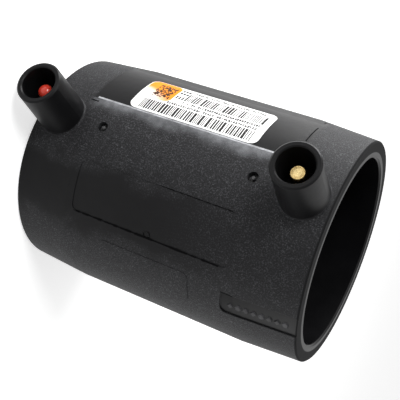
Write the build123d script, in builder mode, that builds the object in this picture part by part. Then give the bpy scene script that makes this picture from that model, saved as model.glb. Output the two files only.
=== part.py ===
"""Electrofusion coupler for polyethylene pipe.

A moulded sleeve with two pipe sockets end to end. A coated resistance winding lies in the wall of
each socket, and its two ends rise into terminal shrouds on the outside.

The coupler stands on its lower mouth: its axis is +Z, its origin is the centre of the lower mouth,
and both terminal shrouds point along +X. Lengths are in millimetres and angles in degrees.
"""

import os
from math import cos, radians, sin, tan

from build123d import *

os.makedirs("parts", exist_ok=True)

# Pipe sockets
pipe_diameter = 63.0
pipe_clearance = 0.2  # all round, so that a scraped pipe slides in
body_length = 103.0
mouth_chamfer = 0.6
stop_height = 1.5  # ring in mid-length that both pipe ends meet
stop_width = 3.0
stop_chamfer = 0.5

# Outside of the body
middle_wall = 6.9
end_wall = 5.6
taper_length = 20.6
end_chamfer = 0.4

# Terminal shrouds
shroud_inset = 8.95  # from each mouth to the shroud's axis
shroud_height = 18.4  # from the skin of the straight middle to the rim
shroud_wall = 1.75
shroud_draft = 1.2
shroud_foot = 3.0  # depth that the shroud reaches into the tapered wall
shroud_foot_round = 0.45
rim_chamfer_outside = 0.45
rim_chamfer_inside = 0.35
well_radius = 5.45
well_depth = 15.5

# Terminal pins
pin_radius = 2.35
pin_recess = 4.8  # from the shroud's rim down to the tip of the pin
pin_tip_chamfer = 0.35
pin_root_cover = 1.9  # plastic between the bore and the root of the pin
pin_flange_radius = 3.4
pin_flange_thickness = 1.5
pin_neck_radius = 1.9
pin_neck_length = 2.0
pin_collar_radius = 3.0

# Recognition cap in the lower pin, which is a sleeve at its tip
sleeve_recess = 4.9
cap_head_radius = 2.25
cap_head_height = 1.4
cap_stem_radius = 1.5
cap_stem_length = 6.0

# Heating winding
wire_diameter = 1.2
winding_inset = 14.0  # cold stretch at each mouth
winding_depth = 1.8
turn_pitch = 2.6
turns_per_socket = 9

# Fusion indicators
indicator_inset = 25.0
indicator_well_radius = 1.7
indicator_well_depth = 3.2
indicator_foot_height = 1.0
indicator_nub_radius = 0.65
indicator_nub_recess = 0.4
indicator_nub_chamfer = 0.25
indicator_clearance = 0.05

# Panels left by the mould's inserts, as (bottom, top) heights and (start, end) angles round the axis
label_panel_depth = 0.3
line_panel_depth = 0.2
panel_round = 2.0
label_panel_margin = 10.0  # from each mouth, past where the straight floor runs out of the taper
label_panel_angles = (-55.0, -14.4)
side_panel_margin = 23.3
side_panel_angles = (17.2, 42.5)
date_panel_heights = (34.5, 67.0)
date_panel_angles = (52.7, 70.5)
size_panel_bottom = 78.3
size_panel_angles = (54.9, 66.9)
size_panel_depth = 0.45
gate_mark_angle = 41.0
gate_mark_radius = 1.3
gate_mark_core = 0.8
gate_mark_depth = 0.25

# Label
label_bottom = 28.0
label_length = 45.6
label_angles = (-41.9, -15.8)
label_thickness = 0.12
label_round = 2.6

# Radii and places that follow from the sizes above
bore_radius = pipe_diameter / 2 + pipe_clearance
middle_radius = bore_radius + middle_wall
end_radius = bore_radius + end_wall
half_length = body_length / 2
rim_x = middle_radius + shroud_height
floor_x = rim_x - well_depth
pin_root_x = bore_radius + pin_root_cover
shroud_root_x = end_radius - shroud_foot
shroud_rim_radius = well_radius + shroud_wall
shroud_root_radius = shroud_rim_radius + (rim_x - shroud_root_x) * tan(radians(shroud_draft))
terminal_heights = (shroud_inset, body_length - shroud_inset)
winding_radius = bore_radius + winding_depth
winding_length = turn_pitch * turns_per_socket
winding_middles = (winding_inset + winding_length / 2, body_length - winding_inset - winding_length / 2)
wire_track_radius = bore_radius + winding_depth / 2
indicator_heights = (indicator_inset, body_length - indicator_inset)
indicator_floor_x = middle_radius - indicator_well_depth
label_floor_radius = middle_radius - label_panel_depth


def skin_radius(height):
    """Outer radius of the body at a height: tapered at both ends, straight between."""
    from_mouth = min(height, body_length - height)
    share_of_taper = max(0.0, 1 - from_mouth / taper_length)
    return middle_radius - (middle_radius - end_radius) * share_of_taper


def meridian(angle):
    """The half plane through the axis at an angle from +X: its x runs outwards and its y runs up."""
    return Plane(
        origin=(0, 0, 0),
        x_dir=(cos(radians(angle)), sin(radians(angle)), 0),
        z_dir=(sin(radians(angle)), -cos(radians(angle)), 0),
    )


def panel_cutter(heights, angles, depth, follows_taper=True):
    """A curved block that takes a depth off the skin between two heights and two angles."""
    bottom, top = heights
    knees = [h for h in (taper_length, body_length - taper_length) if bottom < h < top]
    floor = [(skin_radius(h) - depth, h) for h in (bottom, *knees, top)]
    if not follows_taper:
        floor = [(middle_radius - depth, bottom), (middle_radius - depth, top)]
    outside = middle_radius + panel_round
    with BuildPart() as cutter:
        with BuildSketch(meridian(angles[0])):
            with BuildLine():
                Polyline(*floor, (outside, top), (outside, bottom), close=True)
            make_face()
        revolve(axis=Axis.Z, revolution_arc=angles[1] - angles[0])
        radial_edges = cutter.edges().filter_by(GeomType.LINE).filter_by(Plane.XY)
        fillet(radial_edges, panel_round)
    return cutter.part


def terminal_axis(height):
    """Axis of the terminal at a height, pointing out of its shroud."""
    return Axis((0, 0, height), (1, 0, 0))


def pin_outline(height, tip_x):
    """Half outline of a turned terminal pin on the plane y = 0, root flange first."""
    flange_x = pin_root_x + pin_flange_thickness
    neck_x = flange_x + pin_neck_length
    return [
        (pin_root_x, height),
        (pin_root_x, height + pin_flange_radius),
        (flange_x, height + pin_flange_radius),
        (flange_x, height + pin_neck_radius),
        (neck_x, height + pin_neck_radius),
        (neck_x, height + pin_collar_radius),
        (floor_x, height + pin_collar_radius),
        (floor_x, height + pin_radius),
        (tip_x - pin_tip_chamfer, height + pin_radius),
        (tip_x, height + pin_radius - pin_tip_chamfer),
        (tip_x, height),
    ]


# The winding's runs outside the two sockets: a bridge over the cold middle and a lead to each pin.
with BuildPart() as wire_runs:
    for inner, outer in zip(winding_middles, terminal_heights):
        with BuildSketch(Plane.XY.offset(outer)):
            with Locations((wire_track_radius, 0)):
                Circle(wire_diameter / 2)
        extrude(amount=inner - outer)
        with BuildSketch(Plane.YZ.offset(wire_track_radius)):
            with Locations((0, outer)):
                Circle(wire_diameter / 2)
        extrude(amount=pin_root_x - wire_track_radius)
        with Locations((wire_track_radius, 0, outer)):
            Sphere(wire_diameter / 2)
    with BuildSketch(Plane.XY.offset(winding_middles[0])):
        with Locations((wire_track_radius, 0)):
            Circle(wire_diameter / 2)
    extrude(amount=winding_middles[1] - winding_middles[0])

# In each socket the coated turns lie side by side, welded into one sleeve that is flush with the bore.
with BuildPart() as heating_wire:
    with BuildSketch(Plane.XZ):
        for middle in winding_middles:
            with Locations((bore_radius + winding_depth / 2, middle)):
                Rectangle(winding_depth, winding_length)
    revolve(axis=Axis.Z)
    add(wire_runs.part)

with BuildPart() as upper_terminal_pin:
    with BuildSketch(Plane.XZ):
        with BuildLine():
            Polyline(*pin_outline(terminal_heights[1], rim_x - pin_recess), close=True)
        make_face()
    revolve(axis=terminal_axis(terminal_heights[1]))

# The lower pin's tip is a sleeve that takes the stem of the recognition cap.
with BuildPart() as lower_terminal_pin:
    with BuildSketch(Plane.XZ):
        with BuildLine():
            Polyline(*pin_outline(terminal_heights[0], rim_x - sleeve_recess), close=True)
        make_face()
    revolve(axis=terminal_axis(terminal_heights[0]))
    with BuildSketch(Plane.YZ.offset(rim_x - sleeve_recess)):
        with Locations((0, terminal_heights[0])):
            Circle(cap_stem_radius)
    extrude(amount=-cap_stem_length, mode=Mode.SUBTRACT)

with BuildPart() as recognition_cap:
    with BuildSketch(Plane.XZ):
        with BuildLine():
            axis_z = terminal_heights[0]
            seat_x = rim_x - sleeve_recess
            head = seat_x + cap_head_height
            Polyline(
                (head, axis_z),
                (seat_x - cap_stem_length, axis_z),
                (seat_x - cap_stem_length, axis_z + cap_stem_radius),
                (seat_x, axis_z + cap_stem_radius),
                (seat_x, axis_z + cap_head_radius),
            )
            TangentArc((head, axis_z), (seat_x, axis_z + cap_head_radius), tangent=(0, 1))
        make_face()
    revolve(axis=terminal_axis(terminal_heights[0]))

# A small pin in each indicator well rises as the socket heats.
indicator_pins = {}
for name, height in zip(("lower_indicator_pin", "upper_indicator_pin"), indicator_heights):
    with BuildPart() as indicator_pin:
        with BuildSketch(Plane.YZ.offset(indicator_floor_x)):
            with Locations((0, height)):
                Circle(indicator_well_radius - indicator_clearance)
        extrude(amount=indicator_foot_height)
        with BuildSketch(Plane.YZ.offset(indicator_floor_x)):
            with Locations((0, height)):
                Circle(indicator_nub_radius)
        extrude(amount=indicator_well_depth - indicator_nub_recess)
        nub_top = indicator_pin.faces().sort_by(Axis.X)[-1]
        chamfer(nub_top.edges(), indicator_nub_chamfer)
    indicator_pins[name] = indicator_pin.part

side_panel = panel_cutter(
    (side_panel_margin, body_length - side_panel_margin), side_panel_angles, line_panel_depth
)
date_panel = panel_cutter(date_panel_heights, date_panel_angles, line_panel_depth)
size_panel = panel_cutter((size_panel_bottom, body_length + panel_round * 2), size_panel_angles, size_panel_depth)
label_panel = panel_cutter(
    (label_panel_margin, body_length - label_panel_margin), label_panel_angles, label_panel_depth, False
)

gate_plane = Plane(
    origin=meridian(gate_mark_angle).from_local_coords((middle_radius - line_panel_depth, half_length, 0)),
    x_dir=(0, 0, 1),
    z_dir=meridian(gate_mark_angle).x_dir,
)

with BuildPart() as body:
    # Solid sleeve, chamfered at both outer rims
    with BuildSketch(Plane.XZ):
        with BuildLine():
            Polyline(
                (0, 0),
                (end_radius, 0),
                (middle_radius, taper_length),
                (middle_radius, body_length - taper_length),
                (end_radius, body_length),
                (0, body_length),
                close=True,
            )
        make_face()
    revolve(axis=Axis.Z)
    rims = body.faces().filter_by(Plane.XY).edges()
    chamfer(rims, end_chamfer)

    # Terminal shrouds, drafted towards their rims and blended into the skin
    skin_edges = body.edges()
    for height in terminal_heights:
        with BuildSketch(Plane.XZ):
            with BuildLine():
                Polyline(
                    (shroud_root_x, height),
                    (shroud_root_x, height + shroud_root_radius),
                    (rim_x - rim_chamfer_outside, height + shroud_rim_radius),
                    (rim_x, height + shroud_rim_radius - rim_chamfer_outside),
                    (rim_x, height),
                    close=True,
                )
            make_face()
        revolve(axis=terminal_axis(height))
    foot_edges = (body.edges() - skin_edges).filter_by(
        lambda edge: shroud_root_x < edge.center().X < middle_radius and edge.geom_type != GeomType.LINE
    )
    fillet(foot_edges, shroud_foot_round)

    # Panels in the skin
    for panel in (label_panel, side_panel, date_panel, size_panel):
        add(panel, mode=Mode.SUBTRACT)

    # Terminal wells and indicator wells
    for height in terminal_heights:
        with BuildSketch(Plane.XZ):
            with BuildLine():
                Polyline(
                    (floor_x, height),
                    (floor_x, height + well_radius),
                    (rim_x - rim_chamfer_inside, height + well_radius),
                    (rim_x, height + well_radius + rim_chamfer_inside),
                    (rim_x, height),
                    close=True,
                )
            make_face()
        revolve(axis=terminal_axis(height), mode=Mode.SUBTRACT)
    for height in indicator_heights:
        with BuildSketch(Plane.YZ.offset(indicator_floor_x)):
            with Locations((0, height)):
                Circle(indicator_well_radius)
        extrude(amount=indicator_well_depth + panel_round, mode=Mode.SUBTRACT)

    # Ring left by the injection gate on the side panel
    with BuildSketch(gate_plane):
        Circle(gate_mark_radius)
        Circle(gate_mark_core, mode=Mode.SUBTRACT)
    extrude(amount=-gate_mark_depth, mode=Mode.SUBTRACT)

    # Sockets, with the stop ring between them and a seat for the winding in each
    with BuildSketch(Plane.XZ):
        with BuildLine():
            Polyline(
                (0, 0),
                (bore_radius + mouth_chamfer, 0),
                (bore_radius, mouth_chamfer),
                (bore_radius, half_length - stop_width / 2),
                (bore_radius - stop_height + stop_chamfer, half_length - stop_width / 2),
                (bore_radius - stop_height, half_length - stop_width / 2 + stop_chamfer),
                (bore_radius - stop_height, half_length + stop_width / 2 - stop_chamfer),
                (bore_radius - stop_height + stop_chamfer, half_length + stop_width / 2),
                (bore_radius, half_length + stop_width / 2),
                (bore_radius, body_length - mouth_chamfer),
                (bore_radius + mouth_chamfer, body_length),
                (0, body_length),
                close=True,
            )
        make_face()
        for middle in winding_middles:
            with Locations((bore_radius + winding_depth / 2, middle)):
                Rectangle(winding_depth, winding_length)
    revolve(axis=Axis.Z, mode=Mode.SUBTRACT)

    # The body is moulded round the wire runs and the roots of the pins
    for insert in (wire_runs, lower_terminal_pin, upper_terminal_pin):
        add(insert.part, mode=Mode.SUBTRACT)

with BuildPart() as label:
    with BuildSketch(meridian(label_angles[0])):
        with Locations((label_floor_radius + label_thickness / 2, label_bottom + label_length / 2)):
            Rectangle(label_thickness, label_length)
    revolve(axis=Axis.Z, revolution_arc=label_angles[1] - label_angles[0])
    fillet(label.edges().filter_by(GeomType.LINE).filter_by(Plane.XY), label_round)

finished = {
    "body": body.part,
    "heating_wire": heating_wire.part,
    "lower_terminal_pin": lower_terminal_pin.part,
    "recognition_cap": recognition_cap.part,
    "upper_terminal_pin": upper_terminal_pin.part,
    **indicator_pins,
    "label": label.part,
}
for name, solid in finished.items():
    solid.label = name
    export_step(solid, f"parts/{name}.step")
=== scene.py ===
"""Electrofusion coupler: finishes, label print, mould marks, floor, light and camera.

The coupler stands on its lower mouth with its axis along +Z and its terminal shrouds along +X.
Lengths are in metres unless a name ends in _mm.
"""
import math
import random

import bmesh
import bpy
from mathutils import Matrix, Vector


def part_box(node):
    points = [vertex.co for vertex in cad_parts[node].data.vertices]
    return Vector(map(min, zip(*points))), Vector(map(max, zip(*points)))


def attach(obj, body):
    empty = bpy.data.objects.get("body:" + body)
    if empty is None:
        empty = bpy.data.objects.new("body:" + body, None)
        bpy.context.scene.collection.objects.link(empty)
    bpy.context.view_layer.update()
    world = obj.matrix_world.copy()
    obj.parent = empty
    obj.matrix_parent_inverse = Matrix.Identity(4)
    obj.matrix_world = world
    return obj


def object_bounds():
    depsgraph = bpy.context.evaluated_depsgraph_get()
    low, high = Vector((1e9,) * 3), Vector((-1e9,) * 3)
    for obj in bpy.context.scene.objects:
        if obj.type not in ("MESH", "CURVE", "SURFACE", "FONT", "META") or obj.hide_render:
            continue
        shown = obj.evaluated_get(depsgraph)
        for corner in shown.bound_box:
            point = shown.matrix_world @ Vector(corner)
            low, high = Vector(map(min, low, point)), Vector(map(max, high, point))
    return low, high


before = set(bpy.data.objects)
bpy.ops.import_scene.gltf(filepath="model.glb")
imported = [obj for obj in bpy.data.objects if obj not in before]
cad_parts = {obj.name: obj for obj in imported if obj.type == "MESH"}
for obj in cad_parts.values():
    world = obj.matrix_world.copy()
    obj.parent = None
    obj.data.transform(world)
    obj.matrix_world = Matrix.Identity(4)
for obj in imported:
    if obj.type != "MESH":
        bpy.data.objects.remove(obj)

MM = 0.001
cad_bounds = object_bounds()


# ---------------------------------------------------------------- places read from the frame

body_low, body_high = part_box("body")
body_length = body_high[2] - body_low[2]
middle_radius = -body_low[0]
label_low, label_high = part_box("label")
label_radius = math.hypot(label_high[0], label_high[1])
label_start = math.atan2(label_low[1], label_low[0])
label_end = math.atan2(label_high[1], label_high[0])
label_length = label_high[2] - label_low[2]
bore_edge_radius = -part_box("heating_wire")[0][0]

# Sizes of the moulded skin
TAPER_LENGTH = 20.6 * MM
TAPER_FALL = 1.3 * MM
LABEL_PANEL_DEPTH = 0.3 * MM
LABEL_PANEL_ANGLES = (math.radians(-55.0), math.radians(-14.4))
LINE_PANEL_DEPTH = 0.2 * MM
SIDE_PANEL_ANGLES = (math.radians(17.2), math.radians(42.5))
DATE_PANEL_HEIGHTS = (34.5 * MM, 67.0 * MM)
DATE_PANEL_ANGLES = (math.radians(52.7), math.radians(70.5))
SIZE_PANEL_BOTTOM = 78.3 * MM
SIZE_PANEL_ANGLES = (math.radians(54.9), math.radians(66.9))
SIZE_PANEL_DEPTH = 0.45 * MM
PANEL_ROUND = 2.0 * MM
WINDING_PITCH = 2.6 * MM


def box_centre(node):
    low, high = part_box(node)
    return (Vector(low) + Vector(high)) / 2


def skin_radius(height):
    """Outer radius of the moulding at a height, tapered near both mouths."""
    from_mouth = min(height, body_length - height)
    return middle_radius - TAPER_FALL * max(0.0, 1 - from_mouth / TAPER_LENGTH)


# ---------------------------------------------------------------- shader helpers


class Shader:
    """One node material with a Principled shader and short ways to add nodes to it."""

    def __init__(self, name):
        self.material = bpy.data.materials.new(name)
        self.material.use_nodes = True
        self.tree = self.material.node_tree
        self.principled = self.tree.nodes["Principled BSDF"]
        coordinates = self.tree.nodes.new("ShaderNodeTexCoord")
        self.place = coordinates.outputs["Object"]

    def set(self, **values):
        for name, value in values.items():
            self.principled.inputs[name.replace("_", " ")].default_value = value

    def link(self, output, socket_name):
        self.tree.links.new(output, self.principled.inputs[socket_name])

    def feed(self, socket, value):
        if isinstance(value, (int, float)):
            socket.default_value = value
        else:
            self.tree.links.new(value, socket)

    def math(self, operation, first, second=0.0, clamp=False):
        node = self.tree.nodes.new("ShaderNodeMath")
        node.operation = operation
        node.use_clamp = clamp
        self.feed(node.inputs[0], first)
        self.feed(node.inputs[1], second)
        return node.outputs[0]

    def product(self, *values):
        result = values[0]
        for value in values[1:]:
            result = self.math("MULTIPLY", result, value)
        return result

    def ramp(self, value, low, high, out_low=0.0, out_high=1.0):
        """Smooth change from out_low to out_high as value goes from low to high."""
        node = self.tree.nodes.new("ShaderNodeMapRange")
        node.interpolation_type = "SMOOTHSTEP"
        self.feed(node.inputs["Value"], value)
        limits = {"From Min": low, "From Max": high, "To Min": out_low, "To Max": out_high}
        for socket, limit in limits.items():
            node.inputs[socket].default_value = limit
        return node.outputs["Result"]

    def band(self, value, low, high, edge):
        """One between low and high, zero outside, with soft edges."""
        rise = self.ramp(value, low - edge, low + edge)
        fall = self.ramp(value, high - edge, high + edge, 1, 0)
        return self.product(rise, fall)

    def rest_of(self, share):
        return self.math("SUBTRACT", 1.0, share)

    def noise(self, size_mm, detail=3.0, roughness=0.55, stretch=(1, 1, 1)):
        """Noise whose cells are about size_mm across."""
        mapping = self.tree.nodes.new("ShaderNodeMapping")
        mapping.inputs["Scale"].default_value = stretch
        self.tree.links.new(self.place, mapping.inputs["Vector"])
        node = self.tree.nodes.new("ShaderNodeTexNoise")
        node.inputs["Scale"].default_value = 1 / (size_mm * MM)
        node.inputs["Detail"].default_value = detail
        node.inputs["Roughness"].default_value = roughness
        self.tree.links.new(mapping.outputs["Vector"], node.inputs["Vector"])
        return node.outputs["Fac"]

    def mix(self, share, first, second):
        node = self.tree.nodes.new("ShaderNodeMix")
        node.data_type = "RGBA"
        self.feed(node.inputs["Factor"], share)
        for socket, colour in ((node.inputs["A"], first), (node.inputs["B"], second)):
            if isinstance(colour, tuple):
                socket.default_value = (*colour, 1)
            else:
                self.tree.links.new(colour, socket)
        return node.outputs["Result"]

    def bump(self, height, depth_mm, under=None):
        node = self.tree.nodes.new("ShaderNodeBump")
        node.inputs["Distance"].default_value = depth_mm * MM
        self.feed(node.inputs["Height"], height)
        if under is not None:
            self.tree.links.new(under, node.inputs["Normal"])
        return node.outputs["Normal"]

    def axes(self):
        node = self.tree.nodes.new("ShaderNodeSeparateXYZ")
        self.tree.links.new(self.place, node.inputs[0])
        return node.outputs[0], node.outputs[1], node.outputs[2]

    def radius(self, first, second):
        return self.math("SQRT", self.math("ADD", self.product(first, first), self.product(second, second)))


# ---------------------------------------------------------------- materials

INK_LAY_MM = 0.35
INK_RELIEF_MM = 0.006
INK_GLOSS = 0.12


def polyethylene():
    """Black moulded polyethylene: sparkling grain on the skin, smooth on panels, shrouds and in the bore,
    with a painted sheen below the label panel.
    """
    shader = Shader("polyethylene")
    x, y, z = shader.axes()
    from_axis = shader.radius(x, y)
    angle = shader.math("ARCTAN2", y, x)
    cloud = shader.noise(9, detail=4)
    drift = shader.product(shader.math("SUBTRACT", cloud, 0.5), 0.5)

    # How much of the eroded mould finish each place carries
    skin = shader.ramp(from_axis, bore_edge_radius, bore_edge_radius + 0.5 * MM)
    below_shrouds = shader.ramp(from_axis, middle_radius + 0.1 * MM, middle_radius + 0.8 * MM, 1, 0)
    label_panel = shader.product(
        shader.band(angle, *LABEL_PANEL_ANGLES, math.radians(0.6)),
        shader.band(z, 15.5 * MM, body_length - 15.5 * MM, 1 * MM),
    )
    size_panel = shader.product(
        shader.band(angle, *SIZE_PANEL_ANGLES, math.radians(0.2)),
        shader.ramp(z, SIZE_PANEL_BOTTOM - 0.2 * MM, SIZE_PANEL_BOTTOM + 0.2 * MM),
    )
    drifted_angle = shader.math("ADD", angle, drift)
    polished = shader.product(
        shader.band(drifted_angle, math.radians(18), math.radians(52), math.radians(7)),
        shader.ramp(z, 50 * MM, 88 * MM, 1, 0.35),
    )
    between_ends = shader.band(z, 0.5 * MM, body_length - 0.5 * MM, 0.2 * MM)
    grained = shader.product(
        skin,
        between_ends,
        below_shrouds,
        shader.rest_of(label_panel),
        shader.rest_of(size_panel),
        shader.rest_of(polished),
    )

    grain = shader.noise(0.42, detail=4, roughness=0.75)
    patches = shader.noise(3.5, detail=3)
    panel_edge = LABEL_PANEL_ANGLES[1]
    # Painted sheen: a paler tone below the label panel's near edge, broken up by noise, that stands in for
    # the soft reflection of the lamps there.
    painted_sheen_angle = shader.math("ADD", angle, shader.product(drift, 0.4))
    painted_sheen = shader.product(
        shader.ramp(angle, panel_edge - 0.002, panel_edge),
        shader.ramp(painted_sheen_angle, panel_edge - 0.03, math.radians(-7), 1, 0),
        shader.band(z, 17 * MM, 80 * MM, 3 * MM),
        below_shrouds,
        shader.ramp(patches, 0.3, 0.6, 0.55, 1),
    )
    patchy = shader.ramp(patches, 0.25, 0.65, 0.45, 1)
    sparkle = shader.product(shader.ramp(grain, 0.5, 0.68), patchy, grained)
    tone = shader.mix(cloud, (0.0025, 0.0025, 0.0028), (0.0065, 0.0065, 0.007))
    tone = shader.mix(grained, tone, (0.013, 0.013, 0.014))
    tone = shader.mix(sparkle, tone, (0.085, 0.087, 0.093))
    # Paler tone where the painted sheen lies
    tone = shader.mix(painted_sheen, tone, (0.165, 0.168, 0.178))
    shader.link(tone, "Base Color")

    rough_outside = shader.math("ADD", 0.33, shader.product(grained, 0.17))
    rough_outside = shader.math("ADD", rough_outside, shader.product(cloud, 0.08))
    rough_outside = shader.math("ADD", rough_outside, shader.ramp(between_ends, 0, 1, 0.4, 0))
    shader.link(shader.product(rough_outside, shader.ramp(skin, 0, 1, 0.45, 1)), "Roughness")
    fine = shader.bump(shader.product(grain, grained), 0.16)
    shader.link(shader.bump(shader.noise(5, detail=2), 0.06, fine), "Normal")
    shader.set(Specular_IOR_Level=0.1)
    return shader.material


def even_finish(name, size_mm, dark, light, rough, relief_mm, gloss, detail=3):
    """Finish whose colour, roughness and relief all follow one fine noise."""
    shader = Shader(name)
    mottle = shader.noise(size_mm, detail=detail)
    shader.link(shader.mix(mottle, dark, light), "Base Color")
    shader.link(shader.ramp(mottle, 0.3, 0.7, *rough), "Roughness")
    shader.link(shader.bump(mottle, relief_mm), "Normal")
    shader.set(Specular_IOR_Level=gloss)
    return shader.material


def painted_highlight_polyethylene(name, dark, light, gloss):
    """Raised polyethylene painted paler than the skin round it, in patches: a painted highlight that stands
    in for the light its raised faces catch.
    """
    shader = Shader(name)
    patches = shader.noise(4, detail=3)
    fine = shader.noise(0.6, detail=3)
    shader.link(shader.mix(shader.ramp(patches, 0.3, 0.62), dark, light), "Base Color")
    shader.link(shader.ramp(fine, 0.3, 0.7, 0.24, 0.4), "Roughness")
    shader.link(shader.bump(fine, 0.03), "Normal")
    shader.set(Specular_IOR_Level=gloss)
    return shader.material


def coated_winding():
    """Glossy black bore skin over the turns, which show as faint ridges."""
    shader = Shader("coated_winding")
    z = shader.axes()[2]
    turns = shader.math("SINE", shader.product(z, math.tau / WINDING_PITCH))
    streaks = shader.noise(1.6, detail=3, stretch=(0.15, 0.15, 1.6))
    shader.link(shader.mix(streaks, (0.002, 0.002, 0.002), (0.006, 0.006, 0.007)), "Base Color")
    shader.link(shader.ramp(streaks, 0.2, 0.8, 0.12, 0.26), "Roughness")
    shader.link(shader.bump(turns, 0.02, shader.bump(streaks, 0.02)), "Normal")
    shader.set(Specular_IOR_Level=0.12)
    return shader.material


def turned_metal(name, centre, bright, dark, groove_mm):
    """Metal turned about the X axis: fine rings round the centre on the face and along the shank."""
    shader = Shader(name)
    x, y, z = shader.axes()
    from_centre = shader.radius(shader.math("SUBTRACT", y, centre.y), shader.math("SUBTRACT", z, centre.z))
    path = shader.math("ADD", from_centre, x)
    rings = shader.math("SINE", shader.product(path, math.tau / (groove_mm * MM)))
    tarnish = shader.noise(0.9, detail=4)
    worn_ring = shader.ramp(from_centre, 0.9 * MM, 1.5 * MM)
    shader.link(shader.mix(shader.product(tarnish, worn_ring), bright, dark), "Base Color")
    shader.link(shader.ramp(tarnish, 0.25, 0.75, 0.2, 0.36), "Roughness")
    shader.link(shader.bump(rings, 0.012, shader.bump(tarnish, 0.01)), "Normal")
    around = shader.tree.nodes.new("ShaderNodeTangent")
    around.direction_type = "RADIAL"
    around.axis = "X"
    shader.link(around.outputs["Tangent"], "Tangent")
    shader.set(Metallic=1.0, Anisotropic=0.75)
    return shader.material


def label_film():
    """White printed film with a faint paper tooth."""
    shader = Shader("label_film")
    tooth = shader.noise(0.25, detail=3)
    age = shader.noise(8, detail=2)
    shader.link(shader.mix(age, (0.7, 0.7, 0.69), (0.8, 0.8, 0.79)), "Base Color")
    shader.link(shader.ramp(tooth, 0.3, 0.7, 0.45, 0.6), "Roughness")
    shader.link(shader.bump(tooth, 0.008), "Normal")
    shader.set(Specular_IOR_Level=0.25)
    return shader.material


def ink(name, light, dark):
    """Printed ink with a slightly uneven lay."""
    return even_finish(name, INK_LAY_MM, dark, light, (0.52, 0.68), INK_RELIEF_MM, INK_GLOSS)


def fading_orange():
    """Orange ink that fades to bare film towards its lower corner."""
    shader = Shader("orange_ink")
    x, y, z = shader.axes()
    angle = shader.math("ARCTAN2", y, x)
    lay = shader.noise(INK_LAY_MM, detail=3)
    across = shader.ramp(z, label_low[2], label_low[2] + 0.26 * label_length, 0, 0.6)
    down = shader.ramp(angle, label_start, label_start + 0.62 * (label_end - label_start), 0, 1)
    bare = shader.ramp(shader.math("SUBTRACT", down, across), 0.3, 0.85)
    print_tone = shader.mix(lay, (0.62, 0.19, 0.008), (0.72, 0.24, 0.012))
    shader.link(shader.mix(bare, print_tone, (0.76, 0.72, 0.66)), "Base Color")
    shader.link(shader.ramp(lay, 0.3, 0.7, 0.5, 0.66), "Roughness")
    shader.link(shader.bump(lay, INK_RELIEF_MM), "Normal")
    shader.set(Specular_IOR_Level=INK_GLOSS)
    return shader.material


def dress(node, material):
    """Gives a carried-over CAD node its finish."""
    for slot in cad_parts[node].material_slots:
        slot.material = material


black = polyethylene()
dress("body", black)
dress("heating_wire", coated_winding())
dress(
    "upper_terminal_pin",
    turned_metal("brass", box_centre("upper_terminal_pin"), (0.52, 0.4, 0.19), (0.24, 0.15, 0.045), 0.4),
)
dress(
    "lower_terminal_pin",
    turned_metal("tinned_metal", box_centre("lower_terminal_pin"), (0.8, 0.76, 0.68), (0.55, 0.5, 0.42), 0.3),
)
glossy_red = even_finish(
    "glossy_red", 1.4, (0.4, 0.02, 0.01), (0.58, 0.05, 0.028), (0.16, 0.26), 0.02, 0.35, detail=2
)
dress("recognition_cap", glossy_red)
indicator_plastic = even_finish(
    "indicator_plastic", 0.5, (0.025, 0.025, 0.026), (0.06, 0.06, 0.062), (0.3, 0.45), 0.02, 0.3
)
dress("lower_indicator_pin", indicator_plastic)
dress("upper_indicator_pin", indicator_plastic)
dress("label", label_film())


# ---------------------------------------------------------------- thin pieces laid on the round body


def on_cylinder(radius, angle, height):
    return Vector((radius * math.cos(angle), radius * math.sin(angle), height))


def close_columns(mesh, columns):
    """Skins a row of four-cornered sections into one closed body."""
    for left, right in zip(columns, columns[1:]):
        for corner in range(4):
            following = (corner + 1) % 4
            mesh.faces.new((left[corner], right[corner], right[following], left[following]))
    mesh.faces.new(columns[0])
    mesh.faces.new(reversed(columns[-1]))


CORNER_LIMIT = 0.999  # keeps the first section of a rounded slab from closing to a line


def curved_slab(mesh, radius, thickness, angles, heights, steps=1, corner=0.0):
    """Adds a closed slab on the cylinder between two angles and two heights, with rounded corners."""
    span = angles[1] - angles[0]
    shares = [step / steps for step in range(steps + 1)]
    if corner:
        turn = corner / (radius * span)
        near = [turn * (1 - math.cos(math.radians(degrees))) for degrees in range(0, 90, 15)]
        between = [turn + (1 - 2 * turn) * share for share in shares]
        shares = near + between + [1 - share for share in reversed(near)]
    columns = []
    for share in shares:
        from_side = min(share, 1 - share) * span * radius
        inset = corner - math.sqrt(max(0.0, corner**2 - max(0.0, corner - from_side) ** 2))
        inset = min(inset, corner * CORNER_LIMIT)
        low, high = heights[0] + inset, heights[1] - inset
        section = ((0, low), (thickness, low), (thickness, high), (0, high))
        angle = angles[0] + share * span
        points = [on_cylinder(radius + lift, angle, height) for lift, height in section]
        columns.append([mesh.verts.new(point) for point in points])
    close_columns(mesh, columns)


def finish_piece(name, mesh, material):
    """Turns a bmesh into a piece of the coupler with a material, held by the root body."""
    bmesh.ops.recalc_face_normals(mesh, faces=mesh.faces)
    data = bpy.data.meshes.new(name)
    mesh.to_mesh(data)
    mesh.free()
    data.materials.append(material)
    piece = bpy.data.objects.new(name, data)
    bpy.context.collection.objects.link(piece)
    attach(piece, "root")


# ---------------------------------------------------------------- label print

PRINT_LIFT = 0.012 * MM
PRINT_THICKNESS = 0.012 * MM
LABEL_STEP = math.radians(1.5)
SPACE_SHARE = 0.12
INKED_SHARE = 0.5
random_print = random.Random(63)


def label_angle(down):
    return label_start + down * (label_end - label_start)


def print_block(mesh, across, down, lift=1):
    """Adds one inked block: across runs up the coupler and down runs round it, as shares of the label."""
    angles = [label_angle(share) for share in down]
    heights = [label_low[2] + share * label_length for share in across]
    steps = max(1, round((angles[1] - angles[0]) / LABEL_STEP))
    curved_slab(mesh, label_radius + lift * PRINT_LIFT, PRINT_THICKNESS, angles, heights, steps)


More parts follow.
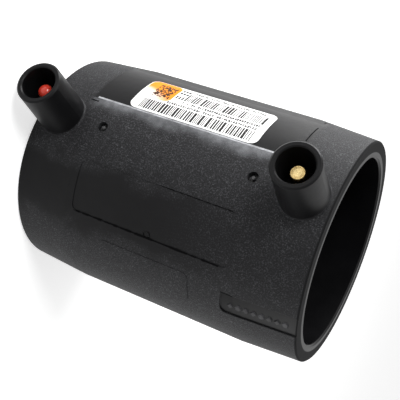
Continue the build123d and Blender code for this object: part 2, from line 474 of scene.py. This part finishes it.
def bar_row(mesh, across, down, module):
    """Bars of one, two or three modules with gaps of one or two."""
    place = across[0]
    while place < across[1] - 3 * module:
        width = module * random_print.choice((1, 1, 1, 2, 2, 3))
        print_block(mesh, (place, place + width), down)
        place += width + module * random_print.choice((1, 1, 1, 2))


def figure_row(mesh, across, down, pitch):
    """Small block figures in a row, each three short strokes, with spaces now and then."""
    place = across[0]
    stroke = (down[1] - down[0]) / 3
    while place < across[1] - pitch:
        if random_print.random() > SPACE_SHARE:
            for row in range(3):
                cut = random_print.choice((0.4, 0.7, 0.75))
                start = place if random_print.random() > 0.4 else place + pitch * 0.15
                top = down[0] + row * stroke
                print_block(mesh, (start, start + pitch * cut), (top, top + 0.9 * stroke))
        place += pitch


def block_pattern(mesh, across, down, cells):
    """A square of small blocks, about half of them inked."""
    wide = (across[1] - across[0]) / cells
    tall = (down[1] - down[0]) / cells
    for column in range(cells):
        for row in range(cells):
            if random_print.random() < INKED_SHARE:
                left = across[0] + column * wide
                top = down[0] + row * tall
                print_block(mesh, (left, left + wide), (top, top + tall), 2)


orange = bmesh.new()
curved_slab(
    orange,
    label_radius,
    PRINT_THICKNESS,
    (label_angle(0.012), label_angle(0.64)),
    (label_low[2] + 0.25 * MM, label_low[2] + 0.25 * label_length),
    10,
    2.3 * MM,
)
finish_piece("label_orange", orange, fading_orange())

# Small plain marks between the block pattern and the bars, as shares of the label
MARKS_LEFT = 0.262
MARKS_PITCH = 0.024
MARK_TOPS = (0.10, 0.20)
brown_print = bmesh.new()
dark_print = bmesh.new()
block_pattern(brown_print, (0.085, 0.225), (0.12, 0.56), 15)
bar_row(dark_print, (0.335, 0.965), (0.19, 0.46), 0.006)
bar_row(dark_print, (0.075, 0.965), (0.69, 0.955), 0.0062)
figure_row(dark_print, (0.36, 0.93), (0.07, 0.14), 0.018)
figure_row(dark_print, (0.34, 0.965), (0.495, 0.56), 0.018)
figure_row(dark_print, (0.24, 0.965), (0.60, 0.66), 0.018)
for column in range(3):
    left = MARKS_LEFT + column * MARKS_PITCH
    for top in MARK_TOPS:
        print_block(dark_print, (left, left + 0.017), (top, top + 0.07))
    print_block(dark_print, (left, left + 0.012), (0.34, 0.46))
brown_ink = ink("brown_ink", (0.06, 0.022, 0.01), (0.03, 0.012, 0.006))
black_ink = ink("black_ink", (0.022, 0.02, 0.02), (0.01, 0.009, 0.009))
finish_piece("label_blocks", brown_print, brown_ink)
finish_piece("label_print", dark_print, black_ink)


# ---------------------------------------------------------------- marks left by the mould, with painted shade and painted highlights

# Painted reflection and painted highlight: these finishes are paler plastic that stands in for the lamps'
# reflection on the near land and for the light on the raised shapes' edges.
painted_reflection_edge = painted_highlight_polyethylene("painted_reflection_edge", (0.1, 0.102, 0.108), (0.26, 0.265, 0.28), 0.5)
painted_highlight_relief = painted_highlight_polyethylene("painted_highlight_relief", (0.014, 0.014, 0.015), (0.034, 0.034, 0.037), 0.18)
LAND_OVERLAP = math.radians(0.1)
FAR_LAND_WIDTH = math.radians(4.5)
LAND_HEIGHTS = (17.0 * MM, body_length - 17.0 * MM)


def panel_land(name, edge, foot, material):
    """Sloping land from the floor of the label panel up to the skin at one of its long edges."""
    land = bmesh.new()
    floor_radius = middle_radius - LABEL_PANEL_DEPTH
    ends = []
    for height in LAND_HEIGHTS:
        corners = ((floor_radius, foot), (middle_radius + 0.01 * MM, edge), (floor_radius, edge))
        ends.append([land.verts.new(on_cylinder(radius, angle, height)) for radius, angle in corners])
    for corner in range(3):
        following = (corner + 1) % 3
        land.faces.new((ends[0][corner], ends[0][following], ends[1][following], ends[1][corner]))
    land.faces.new(ends[0])
    land.faces.new(reversed(ends[1]))
    finish_piece(name, land, material)


far_edge, near_edge = LABEL_PANEL_ANGLES
# The near land's paler plastic is a painted reflection along the label panel's lower edge.
panel_land("label_panel_land_near", near_edge + LAND_OVERLAP, label_end + LAND_OVERLAP, painted_reflection_edge)
panel_land("label_panel_land_far", far_edge, far_edge + FAR_LAND_WIDTH, black)

# Flash and tool marks with painted shade: narrow matte strips of uneven width on the skin, darker than the
# plastic, standing in for the shade in fine grooves and along the panel steps
MARK_LIFT = 0.015 * MM
SIDE_LINE_TOP = 76.6 * MM
SCRATCH_ANGLE = math.radians(-12.5)
CROSS_LINE_ANGLES = (math.radians(-43), math.radians(-28))
CROSS_LINE_HEIGHTS = (86.1 * MM, 86.5 * MM)
random_mark = random.Random(31)
marks = bmesh.new()


def axial_mark(heights, angle, widths_mm, radius, piece=1.6 * MM):
    """A dark line of painted shade up the coupler in short lengths of random width."""
    place = heights[0]
    while place < heights[1]:
        top = min(place + piece * random_mark.uniform(0.6, 1.4), heights[1])
        half = random_mark.uniform(*widths_mm) * MM / 2 / radius
        curved_slab(marks, radius, MARK_LIFT, (angle - half, angle + half), (place, top))
        place = top


side_low, side_high = SIDE_PANEL_ANGLES
axial_mark((24 * MM, SIDE_LINE_TOP), side_high + math.radians(0.1), (0.15, 0.7), middle_radius)
axial_mark((51.7 * MM, SIDE_LINE_TOP), side_low, (0.1, 0.3), middle_radius)
axial_mark((15.3 * MM, 20.1 * MM), SCRATCH_ANGLE, (0.35, 0.7), skin_radius(17.7 * MM), 1 * MM)
axial_mark((SIZE_PANEL_BOTTOM, 82.4 * MM), SIZE_PANEL_ANGLES[0], (0.2, 0.4), middle_radius)
label_floor_radius = middle_radius - LABEL_PANEL_DEPTH
curved_slab(marks, label_floor_radius, MARK_LIFT, CROSS_LINE_ANGLES, CROSS_LINE_HEIGHTS, 12)
shadow_black = even_finish(
    "shadowed_polyethylene", 0.5, (0.001, 0.001, 0.001), (0.004, 0.004, 0.0045), (0.7, 0.9), 0.02, 0.03
)
finish_piece("painted_shade_lines", marks, shadow_black)

# Raised pad for the date insert, which stands just proud of the skin
DATE_PAD_LIFT = 0.14 * MM
date_pad = bmesh.new()
curved_slab(
    date_pad,
    middle_radius - LINE_PANEL_DEPTH,
    LINE_PANEL_DEPTH + DATE_PAD_LIFT,
    DATE_PANEL_ANGLES,
    DATE_PANEL_HEIGHTS,
    18,
    PANEL_ROUND,
)
finish_piece("date_pad", date_pad, black)

# Raised plain shapes in the recess beside the upper mouth, with no lettering
EMBOSS_HEIGHT = 0.38 * MM
EMBOSS_PITCH = 2.5 * MM
EMBOSS_RADIUS = 1.15 * MM
EMBOSS_DRAFT = 0.72
EMBOSS_ROOT = 0.05 * MM  # depth that each shape is sunk in the floor
EMBOSS_BOTTOM = 81.8 * MM
EMBOSS_ANGLE = math.radians(61.4)
emboss = bmesh.new()
for number, sides in enumerate((4, 12, 6, 4, 12, 6, 4, 12)):
    centre = EMBOSS_BOTTOM + number * EMBOSS_PITCH
    floor_radius = skin_radius(centre) - SIZE_PANEL_DEPTH - EMBOSS_ROOT
    rings = []
    for share, lift in ((1, 0), (EMBOSS_DRAFT, EMBOSS_HEIGHT + EMBOSS_ROOT)):
        ring = []
        for side in range(sides):
            turn = math.tau * (side + number / 3) / sides
            away = EMBOSS_RADIUS * share
            angle = EMBOSS_ANGLE + away * math.sin(turn) / floor_radius
            point = on_cylinder(floor_radius + lift, angle, centre + away * math.cos(turn))
            ring.append(emboss.verts.new(point))
        rings.append(ring)
    for side in range(sides):
        following = (side + 1) % sides
        emboss.faces.new((rings[0][side], rings[0][following], rings[1][following], rings[1][side]))
    emboss.faces.new(rings[0])
    emboss.faces.new(reversed(rings[1]))
# The raised shapes are painted paler, a painted highlight in place of their lit edges.
finish_piece("mould_marks", emboss, painted_highlight_relief)


# ---------------------------------------------------------------- floor, light and camera


def seen_directly(tree):
    """One for camera, mirror and glass rays, and zero for the light that falls on things."""
    path = tree.nodes.new("ShaderNodeLightPath")
    total = path.outputs["Is Camera Ray"]
    for ray in ("Is Glossy Ray", "Is Transmission Ray"):
        node = tree.nodes.new("ShaderNodeMath")
        node.operation = "ADD"
        node.use_clamp = True
        tree.links.new(total, node.inputs[0])
        tree.links.new(path.outputs[ray], node.inputs[1])
        total = node.outputs[0]
    return total


def levels(tree, share, low, high):
    node = tree.nodes.new("ShaderNodeMapRange")
    node.inputs["To Min"].default_value = low
    node.inputs["To Max"].default_value = high
    tree.links.new(share, node.inputs["Value"])
    return node.outputs["Result"]


def white_surface(name, own_light):
    """Pale matte surface that camera, mirror and glass rays also see as lit from within."""
    material = bpy.data.materials.new(name)
    material.use_nodes = True
    tree = material.node_tree
    principled = tree.nodes["Principled BSDF"]
    principled.inputs["Base Color"].default_value = (0.9, 0.9, 0.9, 1)
    principled.inputs["Roughness"].default_value = 0.9
    principled.inputs["Emission Color"].default_value = (1, 1, 1, 1)
    glow = levels(tree, seen_directly(tree), 0, own_light)
    tree.links.new(glow, principled.inputs["Emission Strength"])
    return material


FLOOR_SIZE = 6
bpy.ops.mesh.primitive_plane_add(size=FLOOR_SIZE, location=(0, 0, cad_bounds[0][2]))
floor = bpy.context.object
floor.name = "floor"
floor.data.materials.append(white_surface("floor_white", 0.55))

world = bpy.data.worlds.new("studio")
bpy.context.scene.world = world
world.use_nodes = True
sky = world.node_tree
background = sky.nodes["Background"]
background.inputs["Color"].default_value = (1, 1, 1, 1)
sky.links.new(levels(sky, seen_directly(sky), 0.35, 1), background.inputs["Strength"])

middle = Vector((0, 0, body_length / 2))


def soft_light(name, direction, distance, size, power):
    """Square lamp that faces the middle of the coupler."""
    lamp = bpy.data.lights.new(name, "AREA")
    lamp.size = size
    lamp.energy = power
    holder = bpy.data.objects.new(name, lamp)
    bpy.context.collection.objects.link(holder)
    away = Vector(direction).normalized()
    holder.location = middle + away * distance
    holder.rotation_euler = away.to_track_quat("Z", "Y").to_euler()


soft_light("label_side_light", (0.17, -0.97, 0.12), 0.55, 0.3, 5.0)
soft_light("overhead_light", (0.1, -0.35, 0.93), 0.7, 0.4, 0.9)
soft_light("panel_side_light", (-0.25, 0.96, 0.02), 0.7, 0.4, 2.4)
soft_light("front_light", (0.82, -0.33, 0.47), 0.6, 0.2, 2.3)

# The camera looks down the shrouds from one side, rolled so that the axis runs across the view.
CAMERA_AZIMUTH = math.radians(17.83)
CAMERA_ELEVATION = math.radians(22.60)
CAMERA_ROLL = math.radians(-109.72)
CAMERA_DISTANCE = 0.2664
CAMERA_TARGET = Vector((0.0008, -0.0001, 0.0498))
camera_data = bpy.data.cameras.new("camera")
camera_data.sensor_width = 36
camera_data.lens = 69.05
camera_data.clip_start = 0.01
camera = bpy.data.objects.new("camera", camera_data)
bpy.context.collection.objects.link(camera)
towards_camera = Vector(
    (
        math.cos(CAMERA_ELEVATION) * math.cos(CAMERA_AZIMUTH),
        math.cos(CAMERA_ELEVATION) * math.sin(CAMERA_AZIMUTH),
        math.sin(CAMERA_ELEVATION),
    )
)
camera.matrix_world = (
    Matrix.Translation(CAMERA_TARGET + towards_camera * CAMERA_DISTANCE)
    @ towards_camera.to_track_quat("Z", "Y").to_matrix().to_4x4()
    @ Matrix.Rotation(-CAMERA_ROLL, 4, "Z")
)
bpy.context.scene.camera = camera
bpy.context.scene.view_settings.view_transform = "Standard"
